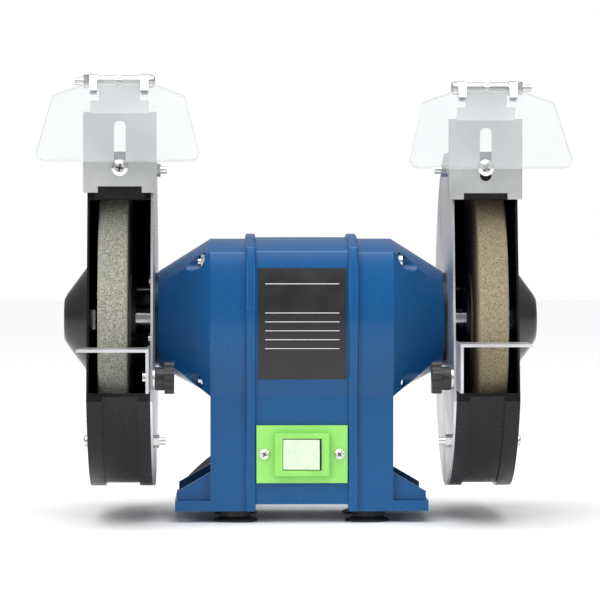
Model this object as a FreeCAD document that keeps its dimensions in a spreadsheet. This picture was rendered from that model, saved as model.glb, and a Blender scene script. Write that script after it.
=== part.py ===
"""Bench grinder: two 200 mm wheels on one motor spindle, guards, rests and eye shields.

X runs along the spindle, -Y is the working side, +Z is up.  The origin is on the bench,
under the middle of the machine.  Lengths are millimetres, angles are degrees.
"""
import FreeCAD, Part
import math
import os
import Sketcher
from FreeCAD import Placement, Rotation, Vector

doc = FreeCAD.newDocument("BenchGrinder")
sheet = doc.addObject("Spreadsheet::Sheet", "Sizes")

DRIVING = [
    # spindle and wheels
    ("shaft_height", 140), ("wheel_diameter", 200), ("wheel_width", 20), ("wheel_offset", 130),
    ("arbor_diameter", 16), ("wheel_bore_gap", 0.1), ("shaft_end", 159), ("shaft_shoulder", 116),
    ("journal_diameter", 20), ("rotor_seat_diameter", 24), ("rotor_diameter", 59.4),
    ("rotor_length", 52), ("air_gap", 0.4), ("flange_diameter", 60), ("flange_thickness", 3.2),
    ("blotter_thickness", 0.8), ("arbor_nut_flats", 24), ("arbor_nut_height", 10),
    # bearings
    ("bearing_outer", 47), ("bearing_width", 14), ("bearing_start", 84), ("ball_diameter", 7.9),
    ("ball_count", 8), ("race_wall", 3.2), ("running_gap", 0.05), ("fit_gap", 0.1),
    # motor housing
    ("base_clearance", 8), ("centre_clearance", 13), ("pedestal_half_depth", 52),
    ("barrel_bulge", 11), ("barrel_low", 52), ("barrel_high", 48), ("barrel_crown", 57),
    ("centre_half", 32), ("rib_width", 7), ("rib_proud", 3.5), ("centre_proud", 1),
    ("end_half", 63.5), ("cone_end", 100), ("cone_end_radius", 34), ("barrel_bore", 104),
    ("end_bore_depth", 60), ("cavity_half_depth", 46), ("cavity_overlap", 6), ("cavity_end", 59.5),
    ("foot_plate_end", 88), ("foot_plate_thickness", 7.5), ("gusset_thickness", 5),
    ("gusset_high", 20), ("gusset_low", 6), ("gusset_depth", 44), ("rib_round", 1.5),
    ("body_round", 3.5), ("bench_hole_diameter", 8), ("bench_hole_x", 79), ("bench_hole_y", 30),
    # long motor bolts and their pockets
    ("motor_bolt_y", 44), ("motor_bolt_z", 41), ("motor_bolt_diameter", 5),
    ("motor_bolt_hole", 5.6), ("pocket_floor", 66), ("pocket_diameter", 13),
    ("motor_bolt_head", 10), ("motor_bolt_head_height", 4),
    # stator
    ("stator_length", 50), ("winding_width", 11), ("winding_outer", 92), ("winding_inner", 66),
    # feet
    ("foot_x", 46), ("foot_y", 34), ("foot_cup_diameter", 31), ("foot_neck_diameter", 20),
    ("foot_boss_diameter", 24), ("foot_boss_height", 22), ("foot_screw_diameter", 5),
    # bottom cover and what stands on it
    ("cover_sheet", 1.5), ("cover_gap", 0.3), ("cover_screw_x", 52), ("capacitor_diameter", 30),
    ("capacitor_length", 46), ("capacitor_y", 22), ("clip_wall", 1), ("clip_width", 12),
    # switch
    ("switch_z", 48), ("switch_plate_width", 63), ("switch_plate_height", 40),
    ("switch_plate_thickness", 3), ("bezel_width", 37.5), ("bezel_height", 29.6),
    ("bezel_proud", 4), ("window_width", 27), ("window_height", 22), ("rocker_gap", 0.7),
    ("rocker_pivot_depth", 4), ("rocker_lean", 7), ("switch_body_depth", 24),
    ("switch_screw_x", 26), ("switch_screw_diameter", 7.2),
    # rating label
    ("label_width", 61), ("label_low", 100), ("label_high", 177), ("label_thickness", 0.6),
    # guards
    ("guard_inner_face", 104), ("guard_width", 42), ("guard_sheet", 1.5), ("guard_radius", 115.5),
    ("guard_rim_radius", 117.5), ("guard_rim_width", 9), ("opening_reach", 92.3),
    ("opening_tilt", 11.5), ("guard_shaft_hole", 28), ("collar_diameter", 66),
    ("collar_bore", 46), ("bulge_base", 41), ("bulge_top", 16), ("bulge_height", 19),
    ("guard_bolt_radius", 107), ("guard_bolt_diameter", 5), ("guard_screw_radius", 27),
    # tool rests
    ("rest_gap", 3), ("rest_depth", 40), ("rest_width", 48.4), ("rest_sheet", 2),
    ("rest_top", 124), ("rest_leg_low", 94.5), ("rest_bolt_y", 88), ("rest_bolt_z", 102),
    ("rest_bolt_diameter", 6), ("rest_travel", 12), ("slide_gap", 0.3), ("right_rest_lift", 3.4),
    ("knob_hub_diameter", 16), ("knob_hub_length", 6.5), ("knob_head_length", 6.4),
    ("knob_lobe_circle", 8), ("knob_lobe_diameter", 7.4), ("washer_thickness", 1.2),
    # spark arresters and eye shields
    ("tab_reach", 84.5), ("tab_top", 257), ("tab_width", 34), ("tab_screw_z", 246),
    ("arrester_width", 50), ("arrester_sheet", 1.5), ("arrester_low", 229), ("arrester_bend", 284),
    ("arrester_flange", 8), ("arrester_notch_width", 30), ("arrester_notch", 4.3),
    ("slot_width", 8), ("slot_low", 241.5), ("slot_high", 278), ("arrester_travel", 24),
    ("right_arrester_drop", 4.6), ("neck_width", 40), ("hinge_reach", 96), ("hinge_z", 304.5),
    ("knuckle_diameter", 8), ("knuckle_length", 12.8), ("knuckle_offset", 7.9),
    ("hinge_bolt_diameter", 5), ("shield_clip_offset", 17.3), ("shield_clip_width", 5.2),
    ("shield_clip_diameter", 10), ("shield_tilt", 32), ("shield_thickness", 3),
    ("shield_forward", 6), ("shield_top", 6.2), ("shield_shoulder", 16.2), ("shield_bottom", 68),
    ("shield_top_width", 44), ("shield_shoulder_width", 89), ("shield_bottom_width", 109),
    # cord
    ("cord_diameter", 7), ("gland_x", 48), ("gland_z", 40), ("gland_length", 28),
    ("coil_mean_radius", 40), ("coil_x", -9), ("coil_y", 205), ("coil_turns_across", 3),
    ("coil_turns_high", 2), ("plug_width", 36), ("plug_length", 46), ("plug_height", 17),
]
for row, (alias, number) in enumerate(DRIVING, start=1):
    sheet.set("A%d" % row, alias)
    sheet.set("B%d" % row, str(number))
    sheet.setAlias("B%d" % row, alias)
doc.recompute()


class Size:
    """A length or angle that knows both its number and the sheet expression behind it."""

    def __init__(self, value, text):
        self.value = value
        self.text = text

    def __add__(self, other):
        other = sized(other)
        return Size(self.value + other.value, "(%s + %s)" % (self.text, other.text))

    def __sub__(self, other):
        other = sized(other)
        return Size(self.value - other.value, "(%s - %s)" % (self.text, other.text))

    def __mul__(self, other):
        other = sized(other)
        return Size(self.value * other.value, "(%s * %s)" % (self.text, other.text))

    def __truediv__(self, other):
        other = sized(other)
        return Size(self.value / other.value, "(%s / %s)" % (self.text, other.text))

    def __rsub__(self, other):
        return sized(other) - self

    def __neg__(self):
        return Size(-self.value, "(-1 * %s)" % self.text)

    __radd__ = __add__
    __rmul__ = __mul__


def sized(number):
    """A plain number or a Size, as a Size."""
    return number if isinstance(number, Size) else Size(float(number), "(%s)" % number)


class Sheet:
    """The sheet's named sizes, read as attributes."""

    def __getattr__(self, alias):
        return Size(float(getattr(sheet, alias)), "Sizes." + alias)


S = Sheet()
# Half the front reach less half the rear reach puts the origin mid-way along Y.
front_reach = S.wheel_diameter / 2 + S.rest_gap + S.rest_depth - 1.3
shaft_y = (front_reach - S.guard_rim_radius) / 2
shaft_z = S.shaft_height
parts = {}


def bind(thing, prop, size):
    """Set a property and tie it to the sheet."""
    size = sized(size)
    setattr(thing, prop, size.value)
    thing.setExpression(prop, size.text)


def place(thing, at, turn=None):
    """Put an object at three sizes, turned by a Rotation."""
    at = [sized(value) for value in at]
    thing.Placement = Placement(Vector(*[value.value for value in at]), turn or Rotation())
    for axis, value in zip("xyz", at):
        thing.setExpression("Placement.Base." + axis, value.text)
    return thing


def keep(node, thing):
    """Register an object as a finished piece."""
    thing.Label = node
    parts[node] = thing
    return thing


TURN_TO = {"X": Rotation(Vector(0, 1, 0), 90), "Y": Rotation(Vector(1, 0, 0), -90), "Z": Rotation()}
SPIN_TO = {"X": Rotation(), "Y": Rotation(Vector(0, 0, 1), 90), "Z": Rotation(Vector(0, 1, 0), -90)}


def block(centre, size):
    """A box given by its centre and its three side lengths."""
    box = doc.addObject("Part::Box", "Block")
    for prop, side in zip(("Length", "Width", "Height"), size):
        bind(box, prop, side)
    return place(box, [sized(c) - sized(s) / 2 for c, s in zip(centre, size)])


def along(axis, centre, length):
    """The start point of a length centred at a point."""
    return [sized(c) - sized(length) / 2 if name == axis else sized(c) for name, c in zip("XYZ", centre)]


def rod(axis, centre, radius, length):
    """A cylinder along an axis, given by its centre."""
    cylinder = doc.addObject("Part::Cylinder", "Rod")
    bind(cylinder, "Radius", radius)
    bind(cylinder, "Height", length)
    return place(cylinder, along(axis, centre, length), TURN_TO[axis])


def hexagon(axis, centre, flats, length):
    """A hexagonal bar across its flats, given by its centre."""
    prism = doc.addObject("Part::Prism", "Hexagon")
    prism.Polygon = 6
    bind(prism, "Circumradius", sized(flats) / math.sqrt(3))
    bind(prism, "Height", length)
    return place(prism, along(axis, centre, length), TURN_TO[axis])


def group(things):
    """Several separate solids as one object."""
    bundle = doc.addObject("Part::Compound", "Group")
    bundle.Links = things
    return bundle


def cut(base, tools):
    """One object with others taken away."""
    result = doc.addObject("Part::Cut", "Cut")
    result.Base = base
    result.Tool = tools[0] if len(tools) == 1 else group(tools)
    return result


def fuse(things):
    """Objects joined into one solid."""
    result = doc.addObject("Part::MultiFuse", "Fusion")
    result.Shapes = things
    result.Refine = True
    return result


def origin_plane(body, role):
    """One of a body's own origin planes."""
    return [item for item in body.Origin.OriginFeatures if item.Role == role][0]


def pin_down(sketch, corner, kind, size, axis):
    """Fix one coordinate of a corner, on an axis where it is nought."""
    if abs(size.value) < 1e-9:
        sketch.addConstraint(Sketcher.Constraint("PointOnObject", corner, 1, axis))
        return
    index = sketch.addConstraint(Sketcher.Constraint(kind, -1, 1, corner, 1, size.value))
    sketch.setExpression("Constraints[%d]" % index, size.text)


def outline(body, plane, points):
    """A closed polygon sketch whose corners are tied to the sheet."""
    points = [(sized(u), sized(v)) for u, v in points]
    sketch = body.newObject("Sketcher::SketchObject", "Outline")
    sketch.AttachmentSupport = (origin_plane(body, plane), [""])
    sketch.MapMode = "FlatFace"
    count = len(points)
    for index in range(count):
        start = Vector(points[index][0].value, points[index][1].value, 0)
        end_u, end_v = points[(index + 1) % count]
        sketch.addGeometry(Part.LineSegment(start, Vector(end_u.value, end_v.value, 0)), False)
    for index in range(count):
        sketch.addConstraint(Sketcher.Constraint("Coincident", index, 2, (index + 1) % count, 1))
    for index, (u, v) in enumerate(points):
        pin_down(sketch, index, "DistanceX", u, -2)
        pin_down(sketch, index, "DistanceY", v, -1)
    return sketch


def turned(axis, at, points):
    """A body turned about an axis: points are (distance along, radius)."""
    body = doc.addObject("PartDesign::Body", "Turned")
    sketch = outline(body, "XZ_Plane", points)
    spin = body.newObject("PartDesign::Revolution", "Spin")
    spin.Profile = sketch
    spin.ReferenceAxis = (sketch, ["H_Axis"])
    spin.Angle = 360
    return place(body, at, SPIN_TO[axis])


def padded(plane, at, points, thickness, turn=None):
    """A flat piece: an outline on a plane, thickened evenly to both sides."""
    body = doc.addObject("PartDesign::Body", "Padded")
    sketch = outline(body, plane, points)
    pad = body.newObject("PartDesign::Pad", "Pad")
    pad.Profile = sketch
    pad.Midplane = True
    bind(pad, "Length", thickness)
    return place(body, at, turn)


def solid(shape):
    """A piece whose shape is worked out directly from the sheet's sizes."""
    feature = doc.addObject("Part::Feature", "Formed")
    feature.Shape = shape
    return feature


def spun(points):
    """A piece turned about the spindle axis."""
    return turned("X", (0, shaft_y, shaft_z), points)


# ---------------------------------------------------------------- castings
def casting_section(x, grow, floor):
    """The casting's outline across the spindle: pedestal, bulged front and back, arched top."""
    depth = (S.pedestal_half_depth + grow).value
    low = (shaft_z - S.barrel_low).value
    high = (shaft_z + S.barrel_high + grow).value
    crown = (shaft_z + S.barrel_crown + grow).value
    middle = (low + high) / 2
    belly = depth + S.barrel_bulge.value
    y = shaft_y.value

    def at(across, height):
        return Vector(x, y + across, height)

    edges = [
        Part.Arc(at(-depth, low), at(-belly, middle), at(-depth, high)).toShape(),
        Part.Arc(at(-depth, high), at(0, crown), at(depth, high)).toShape(),
        Part.Arc(at(depth, high), at(belly, middle), at(depth, low)).toShape(),
    ]
    corners = [at(depth, low), at(-depth, low)]
    if floor is not None:
        corners = [at(depth, low), at(depth, floor), at(-depth, floor), at(-depth, low)]
    for start, end in zip(corners, corners[1:]):
        edges.append(Part.LineSegment(start, end).toShape())
    return Part.Wire(edges)


def casting_prism(x_start, x_end, grow, floor, rounding, every_edge):
    """A length of the casting, its corners rounded."""
    face = Part.Face(casting_section(x_start, grow, floor))
    prism = face.extrude(Vector(x_end - x_start, 0, 0))

    def rounded(edge):
        lengthwise = abs(edge.Vertexes[0].X - edge.Vertexes[-1].X) > 1
        above = edge.BoundBox.ZMax > shaft_z.value
        return every_edge or (lengthwise and above)

    return prism.makeFillet(rounding, [edge for edge in prism.Edges if rounded(edge)])


def end_circle(x, radius):
    """The cone's small end, in four arcs that match the casting's four sides."""
    y, z = shaft_y.value, shaft_z.value

    def at(degrees):
        angle = math.radians(degrees)
        return Vector(x, y + radius * math.cos(angle), z + radius * math.sin(angle))

    arcs = [Part.Arc(at(start), at(start - 45), at(start - 90)).toShape()
            for start in (225, 135, 45, -45)]
    return Part.Wire(arcs)


def numbers(*sizes):
    """Plain numbers for the functions that shape castings directly."""
    return [sized(size).value for size in sizes]


def plain_box(x, y, z):
    """A box from three (low, high) pairs, measured across from the spindle in Y."""
    (x0, x1), (y0, y1), (z0, z1) = numbers(*x), numbers(*y), numbers(*z)
    return Part.makeBox(x1 - x0, y1 - y0, z1 - z0, Vector(x0, shaft_y.value + y0, z0))


def spindle_bar(radius, x_start, x_end, y=0, z=0):
    """A round bar along X, placed from the spindle."""
    r, x0, x1, dy, dz = numbers(radius, x_start, x_end, y, z)
    return Part.makeCylinder(r, x1 - x0, Vector(x0, shaft_y.value + dy, shaft_z.value + dz), Vector(1, 0, 0))


def cavity_top():
    """The wiring space reaches a little way into the stator bore above it."""
    return shaft_z - S.barrel_bore / 2 + S.cavity_overlap


def motor_bolt_corners():
    """Where the four long bolts pass, from the spindle."""
    return [(sy * S.motor_bolt_y, sz * S.motor_bolt_z) for sy in (-1, 1) for sz in (-1, 1)]


def end_casting(has_gland):
    """The right-hand end casting: rib, end section, cone, foot flange and bearing seat."""
    base, half, rib_end, cone = numbers(S.base_clearance, S.end_half, S.centre_half + S.rib_width, S.cone_end)
    depth, low, plate_top = numbers(S.pedestal_half_depth, shaft_z - S.barrel_low,
                                    S.base_clearance + S.foot_plate_thickness)
    rib = casting_prism(S.centre_half.value, rib_end, S.rib_proud.value, base, S.rib_round.value, True)
    wall = casting_prism(rib_end - 1, half, 0, base, S.body_round.value, False)
    nose = Part.makeLoft([casting_section(half, 0, None), end_circle(cone, S.cone_end_radius.value)], True, True)
    plate = plain_box((half - 1, S.foot_plate_end), (-depth, depth), (base, plate_top))
    shape = rib.fuse([wall, nose, plate])
    for across in (-1, 1):
        middle = across * S.gusset_depth.value
        thick = S.gusset_thickness.value / 2
        high, short, end = numbers(S.gusset_high, S.gusset_low, S.foot_plate_end - 1.5)
        corners = [(half - 1, plate_top - 1), (end, plate_top - 1), (end, plate_top + short),
                   (half - 1, plate_top + high)]
        points = [Vector(x, shaft_y.value + middle - thick, z) for x, z in corners]
        web = Part.Face(Part.makePolygon(points + points[:1])).extrude(Vector(0, 2 * thick, 0))
        shape = shape.fuse(web)
    start = S.centre_half - 1
    cavity_y = (-S.cavity_half_depth, S.cavity_half_depth)
    hollows = [
        spindle_bar(S.barrel_bore / 2, start, S.end_bore_depth),
        plain_box((start, S.cavity_end), cavity_y, (S.base_clearance - 1, cavity_top())),
        spindle_bar(S.bearing_outer / 2 + S.fit_gap / 2, S.bearing_start - 1, S.bearing_start + S.bearing_width),
        spindle_bar(S.rotor_seat_diameter / 2, S.bearing_start, S.cone_end + 1),
    ]
    narrow, wide, x0, x1 = numbers(S.bearing_outer / 2 + 2, S.barrel_bore / 2 - 2, S.end_bore_depth,
                                   S.bearing_start)
    hollows.append(Part.makeCone(wide, narrow, x1 - x0 + 0.5,
                                 Vector(x0 - 0.5, shaft_y.value, shaft_z.value), Vector(1, 0, 0)))
    for y, z in motor_bolt_corners():
        hollows.append(spindle_bar(S.motor_bolt_hole / 2, start, S.pocket_floor + 1, y, z))
        hollows.append(spindle_bar(S.pocket_diameter / 2, S.pocket_floor, S.cone_end, y, z))
    for index in range(3):
        y, z = guard_screw_corner(index)
        hollows.append(spindle_bar(S.foot_screw_diameter / 2, S.cone_end - 10, S.cone_end + 1, y, z))
    shape = shape.cut(hollows)
    block_top = S.base_clearance + S.foot_boss_height
    reach = S.foot_boss_diameter / 2
    bosses = [plain_box((S.foot_x - reach, S.cavity_end + 1), (S.foot_y - reach, S.cavity_half_depth + 1),
                        (S.base_clearance, block_top)),
              plain_box((S.foot_x - reach, S.cavity_end + 1),
                        (-S.cavity_half_depth - 1, reach - S.foot_y),
                        (S.base_clearance, block_top)),
              plain_box((S.cover_screw_x - 7, S.cavity_end + 1), (-7, 7),
                        (S.centre_clearance + S.cover_sheet, block_top))]
    shape = shape.fuse(bosses)
    drilled = []
    for across in (-1, 1):
        drilled.append(upright(S.foot_screw_diameter / 2, S.foot_x, across * S.foot_y,
                               S.base_clearance - 1, block_top - 3))
        drilled.append(upright(S.bench_hole_diameter / 2, S.bench_hole_x, across * S.bench_hole_y,
                               S.base_clearance - 1, S.base_clearance + S.foot_plate_thickness + 1))
    drilled.append(upright(S.foot_screw_diameter / 2, S.cover_screw_x, 0, S.centre_clearance, block_top - 3))
    if has_gland:
        x, y, z, r = numbers(S.gland_x, shaft_y + S.cavity_half_depth - 1, S.gland_z, 6)
        drilled.append(Part.makeCylinder(r, 12, Vector(x, y, z), Vector(0, 1, 0)))
    return shape.cut(drilled).removeSplitter()


def upright(radius, x, y, z_start, z_end):
    """A round bar along Z, placed from the spindle in Y."""
    r, px, py, z0, z1 = numbers(radius, x, y, z_start, z_end)
    return Part.makeCylinder(r, z1 - z0, Vector(px, shaft_y.value + py, z0))


def guard_screw_corner(index):
    """Where the three screws that hold a guard's back plate pass, from the spindle."""
    angle = math.radians(90 + 120 * index)
    return S.guard_screw_radius * math.cos(angle), S.guard_screw_radius * math.sin(angle)


def make_castings():
    """Centre housing and the two end castings."""
    half, floor = numbers(S.centre_half, S.centre_clearance)
    centre = casting_prism(-half, half, S.centre_proud.value, floor, S.body_round.value, False)
    hollows = [
        spindle_bar(S.barrel_bore / 2, -S.centre_half - 1, S.centre_half + 1),
        plain_box((-S.centre_half - 1, S.centre_half + 1), (-S.cavity_half_depth, S.cavity_half_depth),
                  (floor - 1, cavity_top())),
        plain_box((-15, 15), (-S.pedestal_half_depth - 5, -S.cavity_half_depth + 1),
                  (S.switch_z - 10, S.switch_z + 10)),
    ]
    for y, z in motor_bolt_corners():
        hollows.append(spindle_bar(S.motor_bolt_hole / 2, -S.centre_half - 1, S.centre_half + 1, y, z))
    for side in (-1, 1):
        x, y, z = numbers(side * S.switch_screw_x, shaft_y - S.pedestal_half_depth - 3, S.switch_z)
        hollows.append(Part.makeCylinder(1.8, 10, Vector(x, y, z), Vector(0, 1, 0)))
    keep("centre_housing", solid(centre.cut(hollows)))
    keep("right_end_casting", solid(end_casting(False)))
    keep("left_end_casting", solid(end_casting(True).mirror(Vector(0, 0, 0), Vector(1, 0, 0))))


def make_motor():
    """Stator, windings and the long bolts that clamp the castings together."""
    outer = S.barrel_bore / 2 - S.fit_gap
    inner = S.rotor_diameter / 2 + S.air_gap
    half = S.stator_length / 2
    keep("stator_core", spun([(-half, inner), (half, inner), (half, outer), (-half, outer)]))
    rings = []
    for side in (-1, 1):
        near, far = side * half, side * (half + S.winding_width)
        low, high = S.winding_inner / 2, S.winding_outer / 2
        rings.append(spun([(near, low), (far, low), (far, high), (near, high)]))
    keep("stator_windings", group(rings))
    bolts = []
    for y, z in motor_bolt_corners():
        end = S.pocket_floor
        shank, head = S.motor_bolt_diameter / 2, S.motor_bolt_head / 2
        body = turned("X", (0, shaft_y + y, shaft_z + z),
                      [(-end - 6, 0), (end + S.motor_bolt_head_height, 0),
                       (end + S.motor_bolt_head_height, head), (end, head), (end, shank), (-end - 6, shank)])
        nut = hexagon("X", (-end - 2, shaft_y + y, shaft_z + z), 9, 4)
        bolts.append(fuse([body, nut]))
    keep("motor_bolts", group(bolts))


def make_bottom():
    """Feet, bottom cover and the electrical parts that stand on it."""
    feet, screws = [], []
    base = S.base_clearance
    cup, neck, hole = S.foot_cup_diameter / 2, S.foot_neck_diameter / 2, S.foot_screw_diameter / 2
    for x in (-1, 1):
        for y in (-1, 1):
            at = (x * S.foot_x, shaft_y + y * S.foot_y, 0)
            feet.append(turned("Z", at, [(0, cup - 2), (0, cup), (1.2, cup), (3.6, neck), (base, neck),
                                         (base, hole + 0.1), (4.6, hole + 0.1), (4.6, 5.4), (2, 5.4)]))
            top = base + S.foot_boss_height - 4
            screws.append(turned("Z", at, [(2.2, 0), (top, 0), (top, hole), (4.6, hole), (4.6, 5), (2.2, 5)]))
    keep("rubber_feet", group(feet))
    keep("foot_screws", group(screws))

    low, sheet_top = S.centre_clearance, S.centre_clearance + S.cover_sheet
    middle = low + S.cover_sheet / 2
    long_x = S.cavity_end - S.cover_gap
    block_x = S.foot_x - S.foot_boss_diameter / 2 - S.cover_gap
    block_y = S.foot_y - S.foot_boss_diameter / 2 - S.cover_gap
    panel = fuse([block((0, shaft_y, middle), (2 * long_x, 2 * block_y, S.cover_sheet)),
                  block((0, shaft_y, middle),
                        (2 * block_x, 2 * (S.cavity_half_depth - S.cover_gap), S.cover_sheet))])
    holes = [rod("Z", (side * S.cover_screw_x, shaft_y, middle), hole + 0.1, 5) for side in (-1, 1)]
    keep("bottom_cover", cut(panel, holes))
    fixings = []
    for side in (-1, 1):
        top = base + S.foot_boss_height - 4
        fixings.append(turned("Z", (side * S.cover_screw_x, shaft_y, 0),
                              [(low - 2.5, 0), (top, 0), (top, hole), (low, hole), (low, 4.6), (low - 2.5, 4.6)]))
    keep("cover_screws", group(fixings))

    radius = S.capacitor_diameter / 2
    ring = radius + S.clip_wall
    at = (0, shaft_y + S.capacitor_y, sheet_top + ring)
    keep("run_capacitor", rod("X", at, radius, S.capacitor_length))
    strap = cut(rod("X", at, ring, S.clip_width), [rod("X", at, radius + 0.05, S.clip_width + 2)])
    foot = block((0, shaft_y + S.capacitor_y - 12, sheet_top + S.clip_wall / 2), (S.clip_width, 20, S.clip_wall))
    keep("capacitor_clip", fuse([strap, foot]))
    keep("terminal_block", block((-14, shaft_y - 22, sheet_top + 8), (34, 14, 16)))


def make_switch():
    """Switch plate with its raised surround, two screws, the switch and its rocker."""
    face = shaft_y - S.pedestal_half_depth - S.centre_proud
    plate_y = face - S.switch_plate_thickness / 2
    bezel_y = face - (S.switch_plate_thickness + S.bezel_proud) / 2
    z = S.switch_z
    plate = block((0, plate_y, z), (S.switch_plate_width, S.switch_plate_thickness, S.switch_plate_height))
    bezel = block((0, bezel_y, z),
                  (S.bezel_width, S.switch_plate_thickness + S.bezel_proud, S.bezel_height))
    window = block((0, bezel_y, z), (S.window_width, 20, S.window_height))
    holes = [rod("Y", (side * S.switch_screw_x, plate_y, z), 1.9, 10) for side in (-1, 1)]
    keep("switch_plate", cut(fuse([plate, bezel]), [window] + holes))
    outer = face - S.switch_plate_thickness
    head = S.switch_screw_diameter / 2
    screws = [turned("Y", (side * S.switch_screw_x, outer, z),
                     [(-2, 0), (11, 0), (11, 1.7), (0, 1.7), (0, head), (-1, head), (-2, head - 1.6)])
              for side in (-1, 1)]
    keep("switch_screws", group(screws))
    depth = S.switch_body_depth
    keep("switch_body", block((0, face + depth / 2, z), (28, depth, 18)))
    pivot = face - S.rocker_pivot_depth
    reach = S.window_width / 2 - S.rocker_gap - 0.2
    rocker = padded("XY_Plane", (0, pivot, z),
                    [(-reach, -4.5), (0, -3), (reach, -4.5), (reach, 0.5), (3, 3.4), (-3, 3.4), (-reach, 0.5)],
                    S.window_height - 2 * S.rocker_gap, Rotation(Vector(0, 0, 1), -S.rocker_lean.value))
    keep("switch_rocker", rocker)


def make_label():
    """A thin plate that follows the bulged front of the centre housing."""
    depth, low, high = numbers(S.pedestal_half_depth + S.centre_proud, shaft_z - S.barrel_low,
                               shaft_z + S.barrel_high + S.centre_proud)
    bulge = S.barrel_bulge.value
    half = (high - low) / 2
    radius = (half * half + bulge * bulge) / (2 * bulge)
    seat = radius + S.fit_gap.value
    start = Vector(-S.label_width.value / 2, shaft_y.value - depth - bulge + radius, (low + high) / 2)
    outer = Part.makeCylinder(seat + S.label_thickness.value, S.label_width.value, start, Vector(1, 0, 0))
    inner = Part.makeCylinder(seat, S.label_width.value, start, Vector(1, 0, 0))
    window = plain_box((-S.label_width / 2, S.label_width / 2), (-depth - 20, -depth + 10),
                       (S.label_low, S.label_high))
    keep("rating_label", solid(outer.cut(inner).common(window)))


# ---------------------------------------------------------------- spindle
def make_spindle():
    """Shaft, rotor, bearings, wheels, flanges, blotters and nuts."""
    end, shoulder = S.shaft_end, S.shaft_shoulder
    arbor, journal, seat = S.arbor_diameter / 2, S.journal_diameter / 2, S.rotor_seat_diameter / 2
    inner = S.bearing_start - 0.5
    keep("shaft", spun([(-end, 0), (end, 0), (end, arbor - 0.8), (end - 0.8, arbor), (shoulder, arbor),
                        (shoulder, journal), (inner, journal), (inner, seat), (-inner, seat),
                        (-inner, journal), (-shoulder, journal), (-shoulder, arbor),
                        (0.8 - end, arbor), (-end, arbor - 0.8)]))
    half = S.rotor_length / 2
    core = S.rotor_diameter / 2
    bore = seat + S.fit_gap / 2
    keep("rotor_core", spun([(-half, bore), (half, bore), (half, core), (-half, core)]))
    rings, races, balls = [], [], []
    for side in (-1, 1):
        near, far = side * S.bearing_start, side * (S.bearing_start + S.bearing_width)
        low, high = journal + S.fit_gap / 2, S.bearing_outer / 2
        rings.append(spun([(near, low), (far, low), (far, low + S.race_wall), (near, low + S.race_wall)]))
        races.append(spun([(near, high - S.race_wall), (far, high - S.race_wall), (far, high), (near, high)]))
        pitch = (low + high) / 2
        for index in range(int(S.ball_count.value)):
            angle = 2 * math.pi * index / S.ball_count.value
            ball = doc.addObject("Part::Sphere", "Ball")
            room = high - low - 2 * S.race_wall - 2 * S.running_gap
            bind(ball, "Radius", room / 2)
            balls.append(place(ball, ((near + far) / 2, shaft_y + pitch * math.cos(angle),
                                      shaft_z + pitch * math.sin(angle))))
    keep("bearing_inner_rings", group(rings))
    keep("bearing_outer_rings", group(races))
    keep("bearing_balls", group(balls))

    blotters, flanges, nuts = [], [], []
    wheel, wide = S.wheel_diameter / 2, S.wheel_width / 2
    bore = arbor + S.wheel_bore_gap
    rim = S.flange_diameter / 2
    for name, side in (("left", -1), ("right", 1)):
        near, far = side * (S.wheel_offset - wide), side * (S.wheel_offset + wide)
        keep(name + "_grinding_wheel",
             spun([(near, bore), (far, bore), (far, wheel - 1), (far - side, wheel),
                   (near + side, wheel), (near, wheel - 1)]))
        for face, way in ((near, -side), (far, side)):
            paper = face + way * S.blotter_thickness
            back = paper + way * S.flange_thickness
            blotters.append(spun([(face, bore), (paper, bore), (paper, rim + 2), (face, rim + 2)]))
            flanges.append(spun([(paper, bore), (back, bore), (back, rim - 3), (paper, rim)]))
        nut_start = far + side * (S.blotter_thickness + S.flange_thickness)
        nut = hexagon("X", (nut_start + side * S.arbor_nut_height / 2, shaft_y, shaft_z),
                      S.arbor_nut_flats, S.arbor_nut_height)
        nuts.append(cut(nut, [rod("X", (side * S.wheel_offset, shaft_y, shaft_z), arbor + 0.05, 90)]))
    keep("wheel_blotters", group(blotters))
    keep("wheel_flanges", group(flanges))
    keep("arbor_nuts", group(nuts))


# ---------------------------------------------------------------- guards
def opening_tool(side):
    """The space in front of the guard's opening, a flat cut across its round."""
    tilt = math.radians(S.opening_tilt.value)
    deep, tall, wide = 60, 300, 80
    back, down = -1 * (S.opening_reach + deep), sized(-tall / 2)
    box = doc.addObject("Part::Box", "Opening")
    box.Length, box.Width, box.Height = wide, deep, tall
    centre = guard_centre(side)
    return place(box, (centre - wide / 2, shaft_y + back * math.cos(tilt) + down * math.sin(tilt),
                       shaft_z - back * math.sin(tilt) + down * math.cos(tilt)),
                 Rotation(Vector(1, 0, 0), -S.opening_tilt.value))


def guard_centre(side):
    """The middle of a guard along X."""
    return side * (S.guard_inner_face + S.guard_width / 2)


def guard_bolt_places():
    """Where a guard's three long bolts pass, from the spindle."""
    angles = [math.radians(degrees) for degrees in (-130, 101, 10)]
    return [(S.guard_bolt_radius * math.cos(a), S.guard_bolt_radius * math.sin(a)) for a in angles]


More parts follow.
